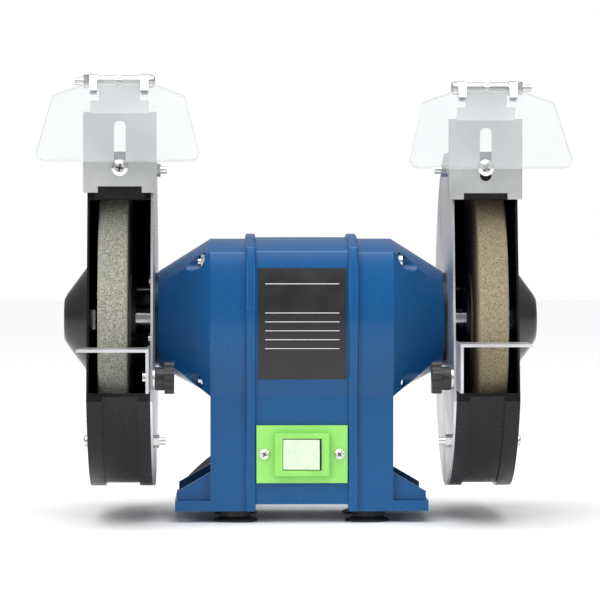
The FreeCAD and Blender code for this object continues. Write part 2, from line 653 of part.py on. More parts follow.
def make_guard(name, side):
    """One wheel guard: back plate, drum with rolled rims and mounting tab, bulged cover."""
    inner = side * S.guard_inner_face
    outer = side * (S.guard_inner_face + S.guard_width)
    skin, rim = S.guard_radius, S.guard_rim_radius
    sheet_t = S.guard_sheet
    tool = opening_tool(side)
    bolt_hole = S.guard_bolt_diameter / 2 + 0.1

    def bolt_holes():
        return [rod("X", (guard_centre(side), shaft_y + y, shaft_z + z), bolt_hole, 90)
                for y, z in guard_bolt_places()]

    back = inner - side * sheet_t
    hole = S.guard_shaft_hole / 2
    plate = spun([(back, hole), (inner, hole), (inner, rim), (back, rim)])
    screw_holes = []
    for index in range(3):
        y, z = guard_screw_corner(index)
        screw_holes.append(rod("X", (inner, shaft_y + y, shaft_z + z), S.foot_screw_diameter / 2 + 0.1, 8))
    stud = rod("X", (inner, shaft_y - S.rest_bolt_y, S.rest_bolt_z), S.rest_bolt_diameter / 2 + 0.05, 8)
    keep(name + "_guard_plate", cut(plate, [tool, stud] + bolt_holes() + screw_holes))

    band = side * S.guard_rim_width
    drum = spun([(inner, skin - sheet_t), (outer, skin - sheet_t), (outer, rim), (outer - band, rim),
                 (outer - band, skin), (inner + band, skin), (inner + band, rim), (inner, rim)])
    reach = math.sqrt(skin.value ** 2 - S.opening_reach.value ** 2)
    tilt = math.radians(S.opening_tilt.value)
    lip_z = shaft_z + S.opening_reach * math.sin(tilt) + reach * math.cos(tilt) - 1.2
    lip_y = S.opening_reach * math.cos(tilt) - reach * math.sin(tilt) - 2
    web = block((guard_centre(side), shaft_y - (S.tab_reach + lip_y) / 2, lip_z),
                (S.tab_width, S.tab_reach - lip_y, sheet_t))
    tab_low = lip_z - sheet_t / 2
    tab = block((guard_centre(side), shaft_y - S.tab_reach + sheet_t / 2, (tab_low + S.tab_top) / 2),
                (S.tab_width, sheet_t, S.tab_top - tab_low))
    screw_hole = rod("Y", (guard_centre(side), shaft_y - S.tab_reach, S.tab_screw_z), 2.45, 8)
    keep(name + "_guard_drum", cut(fuse([cut(drum, [opening_tool(side)]), web, tab]), [screw_hole]))

    base, top = S.bulge_base, S.bulge_top
    face = outer + side * sheet_t
    tip = face + side * S.bulge_height
    cover = spun([(outer, rim), (face, rim), (face, base), (tip - side * 2, top + 2), (tip, top - 1.5),
                  (tip, 0), (tip - side * sheet_t, 0), (tip - side * sheet_t, top - 2.2),
                  (tip - side * (2 + sheet_t), top + 0.7), (outer, base - 1.4)])
    keep(name + "_guard_cover", cut(cover, [opening_tool(side)] + bolt_holes()))

    bolts = []
    for y, z in guard_bolt_places():
        at = (0, shaft_y + y, shaft_z + z)
        shank, head = S.guard_bolt_diameter / 2, 4
        start, end = back - side * 8.5, face + side * 3
        body = turned("X", at, [(start, 0), (end, 0), (end, head - 1), (end - side, head), (face, head),
                                (face, shank), (start, shank)])
        nut = hexagon("X", (back - side * 2, shaft_y + y, shaft_z + z), 8, 4)
        bolts.append(fuse([body, nut]))
    screws = []
    for index in range(3):
        y, z = guard_screw_corner(index)
        radius = S.foot_screw_diameter / 2 - 0.02
        tip_x = side * (S.cone_end - 9)
        screws.append(turned("X", (0, shaft_y + y, shaft_z + z),
                             [(tip_x, 0), (inner + side * 3, 0), (inner + side * 3, 4.2), (inner, 4.2),
                              (inner, radius), (tip_x, radius)]))
    collar_end, collar_start = back, side * S.cone_end
    collar = spun([(collar_start, S.collar_bore / 2), (collar_end, S.collar_bore / 2),
                   (collar_end, S.collar_diameter / 2), (collar_start, S.collar_diameter / 2)])
    clear = []
    for index in range(3):
        y, z = guard_screw_corner(index)
        clear.append(rod("X", (collar_start, shaft_y + y, shaft_z + z), S.foot_screw_diameter / 2 + 0.1, 20))
    return bolts, screws, cut(collar, clear)


def make_guards():
    """Both guards and the fasteners they share."""
    bolts, screws, collars = [], [], []
    for name, side in (("left", -1), ("right", 1)):
        own_bolts, own_screws, collar = make_guard(name, side)
        bolts += own_bolts
        screws += own_screws
        collars.append(collar)
    keep("guard_bolts", group(bolts))
    keep("guard_screws", group(screws))
    keep("guard_collars", group(collars))


# ---------------------------------------------------------------- tool rests
def make_rest(name, side, lift):
    """One tool rest, its clamping bolt and washer, and the star knob."""
    middle = guard_centre(side) + side * 3.5
    thick = S.rest_sheet
    top = S.rest_top + lift
    back = S.wheel_diameter / 2 + S.rest_gap - 1.3
    plate = block((middle, shaft_y - back - S.rest_depth / 2, top - thick / 2),
                  (S.rest_width, S.rest_depth, thick))
    leg_x = side * (S.guard_inner_face + S.slide_gap + thick / 2)
    leg_back = S.rest_bolt_y - S.rest_travel - 10
    leg_front = back + S.rest_depth
    leg = block((leg_x, shaft_y - (leg_back + leg_front) / 2, (top + S.rest_leg_low) / 2),
                (thick, leg_front - leg_back, top - S.rest_leg_low))
    hole = S.rest_bolt_diameter / 2 + S.slide_gap
    slot_y = shaft_y - S.rest_bolt_y + S.rest_travel / 2
    slot = [block((leg_x, slot_y, S.rest_bolt_z), (10, S.rest_travel, 2 * hole))]
    for way in (-1, 1):
        slot.append(rod("X", (leg_x, slot_y + way * S.rest_travel / 2, S.rest_bolt_z), hole, 10))
    keep(name + "_tool_rest", cut(fuse([plate, leg]), [fuse(slot)]))

    at = (0, shaft_y - S.rest_bolt_y, S.rest_bolt_z)
    plate_back = side * (S.guard_inner_face - S.guard_sheet)
    shank = S.rest_bolt_diameter / 2
    washer_end = plate_back - side * S.washer_thickness
    hub_start = washer_end - side * S.slide_gap
    hub_end = hub_start - side * S.knob_hub_length
    head_end = hub_end - side * S.knob_head_length
    inside = side * (S.guard_inner_face + 2 * S.slide_gap + thick)
    bolt = turned("X", at, [(hub_end, 0), (inside + side * 3, 0), (inside + side * 3, 5),
                            (inside, 5), (inside, shank), (hub_end, shank)])
    washer = turned("X", at, [(plate_back, shank + 0.1), (washer_end, shank + 0.1), (washer_end, 7),
                              (plate_back, 7)])
    bore = shank + S.running_gap
    hub = turned("X", at, [(hub_start, bore), (hub_end - side * 0.5, bore), (hub_end - side * 0.5, 0),
                           (head_end, 0), (head_end, 9), (hub_end, 9),
                           (hub_end, S.knob_hub_diameter / 2), (hub_start, S.knob_hub_diameter / 2)])
    lobes = []
    for index in range(5):
        angle = math.radians(90 + 72 * index)
        circle = S.knob_lobe_circle
        lobes.append(rod("X", ((hub_end + head_end) / 2, at[1] + circle * math.cos(angle),
                               at[2] + circle * math.sin(angle)),
                         S.knob_lobe_diameter / 2, S.knob_head_length))
    keep(name + "_rest_knob", fuse([hub] + lobes))
    return bolt, washer


# ---------------------------------------------------------------- arresters and shields
def make_arrester(name, side, drop):
    """One spark arrester bracket with its shield on the hinge above it."""
    middle = guard_centre(side)
    sheet_t = S.arrester_sheet
    back = S.tab_reach + S.slide_gap
    face_y = shaft_y - back - sheet_t / 2
    half, notch = S.arrester_width / 2, S.arrester_notch_width / 2
    low, bend = S.arrester_low - drop, S.arrester_bend - drop
    shelf = low + S.arrester_notch
    face = padded("XZ_Plane", (middle, face_y, 0),
                  [(-half, low), (-notch, low), (-notch, shelf), (notch, shelf), (notch, low),
                   (half, low), (half, bend), (-half, bend)], sheet_t)
    flanges = [block((middle + way * (half - sheet_t / 2), face_y + S.arrester_flange / 2, (low + bend) / 2),
                     (sheet_t, S.arrester_flange + sheet_t, bend - low)) for way in (-1, 1)]
    hinge_y, hinge_z = shaft_y - S.hinge_reach, S.hinge_z - drop
    # The neck leans forward from the bend, and narrows to pass between the shield's clips.
    bend_at = S.arrester_bend - 1
    shoulder = (back + (S.hinge_reach - 4 - back) * 0.45, bend_at + (S.hinge_z - 2 - bend_at) * 0.45)
    tongue = (S.hinge_reach - 4, S.hinge_z - 2)
    necks = []
    for start, end, width in (((back, bend_at), shoulder, S.neck_width),
                              (shoulder, tongue, 2 * S.knuckle_offset + S.knuckle_length - 0.6)):
        necks.append(padded("YZ_Plane", (middle, shaft_y, -1 * drop),
                            [(-1 * (start[0] + sheet_t), start[1]), (-1 * start[0], start[1]),
                             (-1 * end[0], end[1]), (-1 * (end[0] + sheet_t), end[1])], width))
    tubes = [rod("X", (middle + way * S.knuckle_offset, hinge_y, hinge_z), S.knuckle_diameter / 2,
                 S.knuckle_length) for way in (-1, 1)]
    bore = S.hinge_bolt_diameter / 2 + S.running_gap
    slot_r = S.slot_width / 2
    ends = [S.slot_low + slot_r, S.slot_high - slot_r]
    slot = [rod("Y", (middle, face_y, z - drop), slot_r, 8) for z in ends]
    slot.append(block((middle, face_y, (ends[0] + ends[1]) / 2 - drop),
                      (S.slot_width, 8, ends[1] - ends[0])))
    tools = [rod("X", (middle, hinge_y, hinge_z), bore, 60), fuse(slot)]
    keep(name + "_spark_arrester", cut(fuse([face] + necks + flanges + tubes), tools))

    # Hinge bolt: head towards the motor, nut outside.
    clip_end = S.shield_clip_offset + S.shield_clip_width / 2
    head_start = middle - side * (clip_end + S.slide_gap)
    nut_start = clip_end + S.slide_gap
    shank = S.hinge_bolt_diameter / 2
    at = (0, hinge_y, hinge_z)
    tip = middle + side * (nut_start + 10)
    bolt = turned("X", at, [(head_start - side * 4, 0), (tip, 0), (tip, shank), (head_start, shank),
                            (head_start, 4.4), (head_start - side * 3, 4.4), (head_start - side * 4, 3)])
    keep(name + "_hinge_bolt", bolt)
    nut = hexagon("X", (middle + side * (nut_start + 2), hinge_y, hinge_z), 8, 4)
    keep(name + "_hinge_nut", cut(nut, [rod("X", (middle, hinge_y, hinge_z), shank + 0.05, 80)]))

    # Shield: a flat clear plate hanging in front of the hinge, held by two clips.
    turn = Rotation(Vector(1, 0, 0), -S.shield_tilt.value)
    at = (middle, hinge_y, hinge_z)
    top, shoulder, bottom = -1 * S.shield_top, -1 * S.shield_shoulder, -1 * S.shield_bottom
    half_top, half_mid, half_low = S.shield_top_width / 2, S.shield_shoulder_width / 2, S.shield_bottom_width / 2
    corner = 6
    points = [(-half_top, top), (-half_mid, shoulder), (-half_low, bottom + corner),
              (corner * 0.3 - half_low, bottom + corner * 0.3), (corner - half_low, bottom),
              (half_low - corner, bottom), (half_low - corner * 0.3, bottom + corner * 0.3),
              (half_low, bottom + corner), (half_mid, shoulder), (half_top, top)]
    plate = padded("XZ_Plane", at, points, S.shield_thickness, turn)
    shift = turn.multVec(Vector(0, -S.shield_forward.value, 0))
    place(plate, (at[0], at[1] + shift.y, at[2] + shift.z), turn)
    keep(name + "_eye_shield", plate)
    clips = []
    for way in (-1, 1):
        offset = way * S.shield_clip_offset
        ring = rod("X", (middle + offset, hinge_y, hinge_z), S.shield_clip_diameter / 2, S.shield_clip_width)
        reach = S.shield_forward + S.shield_thickness / 2 + 1.5
        jaw = padded("YZ_Plane", (middle + offset, hinge_y, hinge_z),
                     [(-1 * reach, -1), (-1 * reach, -13), (reach - 2 * S.shield_forward, -13),
                      (reach - 2 * S.shield_forward, -5), (-1, -4), (-1, -1)], S.shield_clip_width, turn)
        space = padded("YZ_Plane", (middle + offset, hinge_y, hinge_z),
                       [(-S.shield_forward - S.shield_thickness / 2 - 0.02, top + 0.02),
                        (-S.shield_forward - S.shield_thickness / 2 - 0.02, -20),
                        (-S.shield_forward + S.shield_thickness / 2 + 0.02, -20),
                        (-S.shield_forward + S.shield_thickness / 2 + 0.02, top + 0.02)],
                       S.shield_clip_width + 2, turn)
        hole = rod("X", (middle + offset, hinge_y, hinge_z), bore, S.shield_clip_width + 4)
        clips.append(cut(fuse([ring, jaw]), [space, hole]))
    keep(name + "_shield_clips", group(clips))

    # The screw that clamps the bracket's slot to the guard's tab.
    face_front = shaft_y - back - sheet_t - 0.2
    return turned("Y", (middle, face_front, S.tab_screw_z),
                  [(-4, 0), (9, 0), (9, 2.4), (0, 2.4), (0, 5.6), (-2.2, 5.6), (-4, 3.2)])


def make_adjusters():
    """Both tool rests and both arresters, with the fasteners they share."""
    rest_bolts, washers, clamps = [], [], []
    settings = (("left", -1, sized(0), sized(0)), ("right", 1, S.right_rest_lift, S.right_arrester_drop))
    for name, side, lift, drop in settings:
        bolt, washer = make_rest(name, side, lift)
        rest_bolts.append(bolt)
        washers.append(washer)
        clamps.append(make_arrester(name, side, drop))
    keep("rest_bolts", group(rest_bolts))
    keep("rest_washers", group(washers))
    keep("arrester_screws", group(clamps))


# ---------------------------------------------------------------- cord
def cord_route():
    """The lead from its strain relief down to the bench and round to the coil."""
    exit_y = S.pedestal_half_depth.value + S.gland_length.value + shaft_y.value
    gland = Vector(-S.gland_x.value, exit_y, S.gland_z.value)
    bench = S.cord_diameter.value / 2 + 0.1
    coil_top = S.coil_y.value + S.coil_mean_radius.value + S.cord_diameter.value
    first = gland + Vector(0, 26, 0)
    loose = [(-61, 146, 33), (-81, 169, 13), (-86, 194, bench), (-79, 220, bench),
             (-62, 241, bench), (-37, coil_top, bench)]
    return [gland, first] + [Vector(*point) for point in loose] + [Vector(S.coil_x.value, coil_top, bench)]


def cord_path(points):
    """Straight runs joined by tangent arcs, each as large as its two runs allow."""
    edges, start = [], points[0]
    for before, corner, after in zip(points, points[1:], points[2:]):
        run_in, run_out = corner - before, after - corner
        turn = run_in.getAngle(run_out)
        reach = 0.45 * min(run_in.Length, run_out.Length)
        radius = reach / math.tan(turn / 2)
        print("cord bend radius %.1f" % radius)
        way_in, way_out = Vector(run_in).normalize(), Vector(run_out).normalize()
        enter, leave = corner - way_in * reach, corner + way_out * reach
        inward = (way_out - way_in).normalize()
        middle = corner + inward * (radius / math.cos(turn / 2) - radius)
        edges.append(Part.LineSegment(start, enter).toShape())
        edges.append(Part.Arc(enter, middle, leave).toShape())
        start = leave
    edges.append(Part.LineSegment(start, points[-1]).toShape())
    return Part.Wire(edges)


def make_cord():
    """Strain relief, lead, put-away coil and plug."""
    rear = shaft_y + S.pedestal_half_depth
    cord_r = S.cord_diameter / 2
    tip = S.gland_length
    keep("cord_gland", turned("Y", (-S.gland_x, rear, S.gland_z),
                              [(-8, cord_r), (-8, 5.9), (0, 5.9), (0, 9), (3, 9), (5, 6.5), (tip, 4.4),
                               (tip, 0), (tip - 4, 0), (tip - 4, cord_r)]))
    points = cord_route()
    path = cord_path(points)
    circle = Part.Wire(Part.Circle(points[0], points[1] - points[0], cord_r.value).toShape())
    tube = path.makePipe(Part.Face(circle))
    expected = math.pi * cord_r.value ** 2 * path.Length
    print("cord tube length %.1f, volume %.1f against %.1f" % (path.Length, tube.Volume, expected))
    keep("power_cord", solid(tube))

    across = S.coil_turns_across * S.cord_diameter / 2
    high = S.coil_turns_high * S.cord_diameter
    mean = S.coil_mean_radius
    keep("cord_coil", turned("Z", (S.coil_x, S.coil_y, 0),
                             [(0, mean - across + 2), (0, mean + across - 2), (2, mean + across),
                              (high - 2, mean + across), (high, mean + across - 2),
                              (high, mean - across + 2), (high - 2, mean - across), (2, mean - across)]))
    wide, long, tall = S.plug_width / 2, S.plug_length, S.plug_height
    tail, front = -36, long - 36
    shell = padded("XY_Plane", (S.coil_x, S.coil_y, high + tall / 2),
                   [(tail, -6), (tail + 6, -10), (tail + 18, -1 * wide), (front, -1 * wide),
                    (front, wide), (tail + 18, wide), (tail + 6, 10), (tail, 6)], tall)
    pins = [rod("X", (S.coil_x + front + 9, S.coil_y + way * 9.5, high + tall / 2), 2.4, 20)
            for way in (-1, 1)]
    keep("power_plug", fuse([shell] + pins))


make_castings()
make_motor()
make_bottom()
make_switch()
make_label()
make_spindle()
make_guards()
make_adjusters()
make_cord()
doc.recompute()

for thing in doc.Objects:
    if "Invalid" in thing.State or "Error" in thing.State:
        raise RuntimeError("%s (%s) failed: %s" % (thing.Name, thing.Label, thing.State))
for node, thing in parts.items():
    if thing.Shape.isNull() or not thing.Shape.isValid() or not thing.Shape.Solids:
        raise RuntimeError("%s has no valid solid" % node)

os.makedirs("parts", exist_ok=True)
for node, thing in parts.items():
    thing.Shape.exportStep("parts/%s.step" % node)
    print("%-24s solids %2d volume %10.1f" % (node, len(thing.Shape.Solids), thing.Shape.Volume))
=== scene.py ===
"""Bench grinder: the finished look of the machine, built round its CAD frame."""
import math

import bmesh
import bpy
from mathutils import Matrix, Vector


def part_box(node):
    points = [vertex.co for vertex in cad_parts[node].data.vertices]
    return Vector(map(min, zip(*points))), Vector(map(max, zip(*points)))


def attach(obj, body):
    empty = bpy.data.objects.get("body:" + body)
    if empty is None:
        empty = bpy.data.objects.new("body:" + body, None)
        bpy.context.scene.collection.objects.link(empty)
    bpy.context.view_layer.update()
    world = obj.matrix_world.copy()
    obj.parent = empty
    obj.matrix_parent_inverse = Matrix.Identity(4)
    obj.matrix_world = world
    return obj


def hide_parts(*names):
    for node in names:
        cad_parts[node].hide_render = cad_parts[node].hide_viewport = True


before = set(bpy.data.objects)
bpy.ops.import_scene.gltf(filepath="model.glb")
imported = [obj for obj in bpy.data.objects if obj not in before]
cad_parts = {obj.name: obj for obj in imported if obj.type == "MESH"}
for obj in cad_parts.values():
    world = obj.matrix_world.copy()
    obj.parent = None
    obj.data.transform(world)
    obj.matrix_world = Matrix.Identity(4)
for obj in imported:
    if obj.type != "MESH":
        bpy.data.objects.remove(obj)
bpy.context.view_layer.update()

# ---- Studio: a plain pale floor, even daylight, and three soft lamps, one overhead and one
# at each front corner.  The camera stands in front, a little left of the middle and a little
# above the wheels; how far away it stands was chosen, not measured.
housing_low, housing_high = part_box("centre_housing")
shaft_low, shaft_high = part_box("shaft")
spindle = Vector((0, (housing_low[1] + housing_high[1]) / 2, (shaft_low[2] + shaft_high[2]) / 2))
camera_side = -0.052
camera_distance = 2.5
camera_height = 0.217
look_down = math.radians(1.455)
look_right = math.radians(1.186)

camera_data = bpy.data.cameras.new("camera")
camera_data.lens = 212
camera_data.sensor_width = 36
camera_data.clip_end = 20
camera = bpy.data.objects.new("camera", camera_data)
camera.location = (camera_side, spindle.y - camera_distance, camera_height)
camera.rotation_euler = (math.radians(90) - look_down, 0, -look_right)
bpy.context.scene.collection.objects.link(camera)
bpy.context.scene.camera = camera

floor_mesh = bpy.data.meshes.new("floor")
reach = 6
floor_mesh.from_pydata([(-reach, -reach, 0), (reach, -reach, 0), (reach, reach, 0), (-reach, reach, 0)],
                       [], [(0, 1, 2, 3)])
floor = bpy.data.objects.new("floor", floor_mesh)
bpy.context.scene.collection.objects.link(floor)
floor_paint = bpy.data.materials.new("floor_paint")
floor_paint.use_nodes = True
floor_shader = floor_paint.node_tree.nodes["Principled BSDF"]
floor_shader.inputs["Base Color"].default_value = (0.93, 0.93, 0.93, 1)
floor_shader.inputs["Roughness"].default_value = 0.6
floor_mesh.materials.append(floor_paint)

world = bpy.data.worlds.new("studio_air")
world.use_nodes = True
air = world.node_tree.nodes
seen_air = air.new("ShaderNodeBackground")
seen_air.inputs["Color"].default_value = (1, 1, 1, 1)
seen_air.inputs["Strength"].default_value = 1.0
air["Background"].inputs["Color"].default_value = (1, 1, 1, 1)
air["Background"].inputs["Strength"].default_value = 0.38
sight = air.new("ShaderNodeLightPath")
either = air.new("ShaderNodeMixShader")
for source, target in ((sight.outputs["Is Camera Ray"], either.inputs["Fac"]),
                       (air["Background"].outputs["Background"], either.inputs[1]),
                       (seen_air.outputs["Background"], either.inputs[2]),
                       (either.outputs["Shader"], air["World Output"].inputs["Surface"])):
    world.node_tree.links.new(source, target)
bpy.context.scene.world = world
bpy.context.scene.view_settings.view_transform = "Standard"

daylight = bpy.data.lights.new("daylight", "SUN")
daylight.energy = 2.4
daylight.angle = math.radians(60)
daylight_object = bpy.data.objects.new("daylight", daylight)
daylight_object.rotation_euler = (math.radians(18), math.radians(-8), 0)
bpy.context.scene.collection.objects.link(daylight_object)

softboxes = (("overhead", (0, -0.2, 1.9), (0, 0, 0), 2.2, 1.6, 14),
             ("front_left", (-1.8, -2.0, 1.1), (math.radians(68), 0, math.radians(-42)), 1.2, 1.4, 20),
             ("front_right", (1.9, -1.8, 1.2), (math.radians(66), 0, math.radians(46)), 1.0, 1.4, 15))
for name, place, turn, width, height, power in softboxes:  # metres, radians and watts
    lamp = bpy.data.lights.new(name, "AREA")
    lamp.shape = "RECTANGLE"
    lamp.size, lamp.size_y, lamp.energy = width, height, power
    lamp_object = bpy.data.objects.new(name, lamp)
    lamp_object.location = place
    lamp_object.rotation_euler = turn
    bpy.context.scene.collection.objects.link(lamp_object)

# ---- Enamelled castings: two end castings and the centre housing, cast in metal and sprayed
# with a glossy blue enamel whose tone and gloss vary a little from place to place.


def link(nodes, source, target):
    """Join two sockets."""
    nodes.id_data.links.new(source, target)


def build_variation():
    """Node group: slow and fine changes of tone, roughness and height over a surface."""
    tree = bpy.data.node_groups.new("surface_variation", "ShaderNodeTree")
    for socket, kind, start in (("Tone A", "NodeSocketColor", (0.5, 0.5, 0.5, 1)),
                                ("Tone B", "NodeSocketColor", (0.6, 0.6, 0.6, 1)),
                                ("Patch Scale", "NodeSocketFloat", 30),
                                ("Grain Scale", "NodeSocketFloat", 900),
                                ("Grain Share", "NodeSocketFloat", 0.3),
                                ("Rough Low", "NodeSocketFloat", 0.2),
                                ("Rough High", "NodeSocketFloat", 0.35)):
        new = tree.interface.new_socket(name=socket, in_out="INPUT", socket_type=kind)
        new.default_value = start
    for socket, kind in (("Colour", "NodeSocketColor"), ("Roughness", "NodeSocketFloat"),
                         ("Height", "NodeSocketFloat")):
        tree.interface.new_socket(name=socket, in_out="OUTPUT", socket_type=kind)
    nodes = tree.nodes
    given, result = nodes.new("NodeGroupInput"), nodes.new("NodeGroupOutput")
    place = nodes.new("ShaderNodeTexCoord")
    patches, grain = nodes.new("ShaderNodeTexNoise"), nodes.new("ShaderNodeTexNoise")
    patches.inputs["Detail"].default_value = 4
    grain.inputs["Detail"].default_value = 2
    for noise, scale in ((patches, "Patch Scale"), (grain, "Grain Scale")):
        link(nodes, place.outputs["Object"], noise.inputs["Vector"])
        link(nodes, given.outputs[scale], noise.inputs["Scale"])
    blend = nodes.new("ShaderNodeMix")
    link(nodes, given.outputs["Grain Share"], blend.inputs["Factor"])
    link(nodes, patches.outputs["Fac"], blend.inputs["A"])
    link(nodes, grain.outputs["Fac"], blend.inputs["B"])
    spread = nodes.new("ShaderNodeMapRange")
    spread.inputs["From Min"].default_value = 0.35
    spread.inputs["From Max"].default_value = 0.65
    link(nodes, blend.outputs["Result"], spread.inputs["Value"])
    tones = nodes.new("ShaderNodeMix")
    tones.data_type = "RGBA"
    link(nodes, spread.outputs["Result"], tones.inputs["Factor"])
    link(nodes, given.outputs["Tone A"], tones.inputs["A"])
    link(nodes, given.outputs["Tone B"], tones.inputs["B"])
    rough = nodes.new("ShaderNodeMapRange")
    link(nodes, spread.outputs["Result"], rough.inputs["Value"])
    link(nodes, given.outputs["Rough Low"], rough.inputs["To Min"])
    link(nodes, given.outputs["Rough High"], rough.inputs["To Max"])
    link(nodes, tones.outputs["Result"], result.inputs["Colour"])
    link(nodes, rough.outputs["Result"], result.inputs["Roughness"])
    link(nodes, grain.outputs["Fac"], result.inputs["Height"])
    return tree


variation = build_variation()


def finish(name, tone_a, tone_b, rough=(0.2, 0.35), metal=0.0, coat=0.0, patch=30, grain=900, share=0.3,
           bump=0.03, depth=0.0002, mirror=0.5):
    """A material whose tone, gloss and small relief vary over the surface."""
    material = bpy.data.materials.new(name)
    material.use_nodes = True
    nodes = material.node_tree.nodes
    shader = nodes["Principled BSDF"]
    shader.inputs["Metallic"].default_value = metal
    shader.inputs["Coat Weight"].default_value = coat
    shader.inputs["Coat Roughness"].default_value = 0.06
    shader.inputs["Specular IOR Level"].default_value = mirror
    surface = nodes.new("ShaderNodeGroup")
    surface.node_tree = variation
    surface.inputs["Tone A"].default_value = (*tone_a, 1)
    surface.inputs["Tone B"].default_value = (*tone_b, 1)
    for socket, number in (("Patch Scale", patch), ("Grain Scale", grain), ("Grain Share", share),
                           ("Rough Low", rough[0]), ("Rough High", rough[1])):
        surface.inputs[socket].default_value = number
    link(nodes, surface.outputs["Colour"], shader.inputs["Base Color"])
    link(nodes, surface.outputs["Roughness"], shader.inputs["Roughness"])
    relief = nodes.new("ShaderNodeBump")
    relief.inputs["Strength"].default_value = bump
    relief.inputs["Distance"].default_value = depth
    link(nodes, surface.outputs["Height"], relief.inputs["Height"])
    link(nodes, relief.outputs["Normal"], shader.inputs["Normal"])
    return material


def dress(material, *names):
    """Give CAD nodes their finish."""
    for name in names:
        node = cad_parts[name]
        if not node.material_slots:
            node.data.materials.append(material)
        for slot in node.material_slots:
            slot.material = material


blue_enamel = finish("blue_enamel", (0.003, 0.07, 0.21), (0.004, 0.08, 0.235), rough=(0.2, 0.3), coat=0.12,
                     patch=14, grain=190, share=0.25, bump=0.05, depth=0.0004, mirror=0.25)
dress(blue_enamel, "centre_housing", "left_end_casting", "right_end_casting")

# ---- Rating label: a thin black printed plate glued to the bulged front of the housing.
# Its printing is left off; only the plain ruled lines of its table remain.
label_black = finish("label_black", (0.006, 0.006, 0.007), (0.012, 0.012, 0.013), rough=(0.3, 0.42),
                     patch=60, grain=1500, bump=0.02)
dress(label_black, "rating_label")
label_low, label_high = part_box("rating_label")
label_wide = label_high[0] - label_low[0]
label_tall = label_high[2] - label_low[2]


def add(name, mesh, material, body, smooth=35):
    """Put a finished mesh into the scene on its body."""
    mesh.materials.append(material)
    mesh.shade_smooth()
    mesh.set_sharp_from_angle(angle=math.radians(smooth))
    piece = bpy.data.objects.new(name, mesh)
    bpy.context.scene.collection.objects.link(piece)
    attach(piece, body)
    return piece


def label_front(across, height):
    """Where the label's printed face is, straight ahead of a point on it."""
    well_in_front = Vector((across, label_low[1] - 0.05, height))
    hit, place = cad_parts["rating_label"].ray_cast(well_in_front, Vector((0, 1, 0)))[:2]
    if not hit:
        raise ValueError("the ruled lines run off the label")
    return place.y


print_stands = 0.00012
rules = bmesh.new()
rule_rows = (0.86, 0.60, 0.52, 0.44, 0.36, 0.28)
edge = 0.42 * label_wide
thick = 0.00022
for share in rule_rows:
    height = label_low[2] + share * label_tall
    corners = []
    for x in (-edge, edge):
        for z in (height - thick, height + thick):
            corners.append(rules.verts.new((x, label_front(x, z) - print_stands, z)))
    rules.faces.new((corners[0], corners[2], corners[3], corners[1]))
rules_mesh = bpy.data.meshes.new("label_rules")
rules.to_mesh(rules_mesh)
white_print = finish("white_print", (0.7, 0.7, 0.7), (0.8, 0.8, 0.8), rough=(0.4, 0.5), patch=80)
add("label_rules", rules_mesh, white_print, "frame")

# ---- Switch: a light green moulded plate with a raised surround, held by two cross-head
# screws; its translucent rocker sits in the window and tips left and right.
green_plastic = finish("green_plastic", (0.25, 0.62, 0.12), (0.29, 0.68, 0.15), rough=(0.3, 0.4), patch=40,
                       grain=1800, bump=0.04)
rocker_plastic = finish("rocker_plastic", (0.55, 0.82, 0.48), (0.72, 0.92, 0.66), rough=(0.12, 0.3), coat=0.4,
                        patch=160, grain=700, share=0.5, bump=0.1)
rocker_shader = rocker_plastic.node_tree.nodes["Principled BSDF"]
rocker_shader.inputs["Subsurface Weight"].default_value = 0.25
rocker_shader.inputs["Subsurface Radius"].default_value = (0.003, 0.004, 0.003)
black_plastic = finish("black_plastic", (0.012, 0.012, 0.012), (0.02, 0.02, 0.02), rough=(0.35, 0.5),
                       patch=50, grain=2200, bump=0.08)
dress(green_plastic, "switch_plate")
dress(rocker_plastic, "switch_rocker")
dress(black_plastic, "switch_body", "terminal_block")

# ---- Fasteners: zinc-plated screws, bolts, washers and nuts. The screws that show at the
# front, on the switch and the arresters, have a cross recess drawn as dark bars: painted shade in the recess.


def box_mesh(build, centre, size, turn=None):
    """A box in a bmesh, optionally turned about its own centre."""
    made = bmesh.ops.create_cube(build, size=1)
    matrix = Matrix.Translation(centre) @ (turn or Matrix.Identity(4)) @ Matrix.Diagonal((*size, 1))
    bmesh.ops.transform(build, matrix=matrix, verts=made["verts"])
    return made["verts"]


bright_zinc = finish("bright_zinc", (0.62, 0.62, 0.61), (0.8, 0.8, 0.79), rough=(0.16, 0.32), metal=1.0,
                     patch=120, grain=1400, bump=0.05)
fasteners = ["motor_bolts", "foot_screws", "cover_screws", "guard_bolts", "guard_screws", "rest_bolts",
             "rest_washers", "left_hinge_bolt", "right_hinge_bolt", "left_hinge_nut", "right_hinge_nut",
             "arbor_nuts", "switch_screws", "arrester_screws"]
dress(bright_zinc, *fasteners)
# Near-black matt finish for the screws' cross recesses: painted shade in the recess.
recess_painted_shade = finish("recess_painted_shade", (0.03, 0.03, 0.03), (0.06, 0.06, 0.06), rough=(0.5, 0.7), patch=200)


def cross_recess_shade(name, centres, size, body, turn_degrees):
    """Painted shade of the cross recess on each screw's head: two thin dark bars set half into its face."""
    build = bmesh.new()
    for index, centre in enumerate(centres):
        for quarter in (0, 90):
            turn = Matrix.Rotation(math.radians(turn_degrees + quarter + 17 * index), 4, "Y")
            box_mesh(build, centre, (size, 0.0003, size * 0.24), turn)
    mesh = bpy.data.meshes.new(name)
    build.to_mesh(mesh)
    add(name, mesh, recess_painted_shade, body)


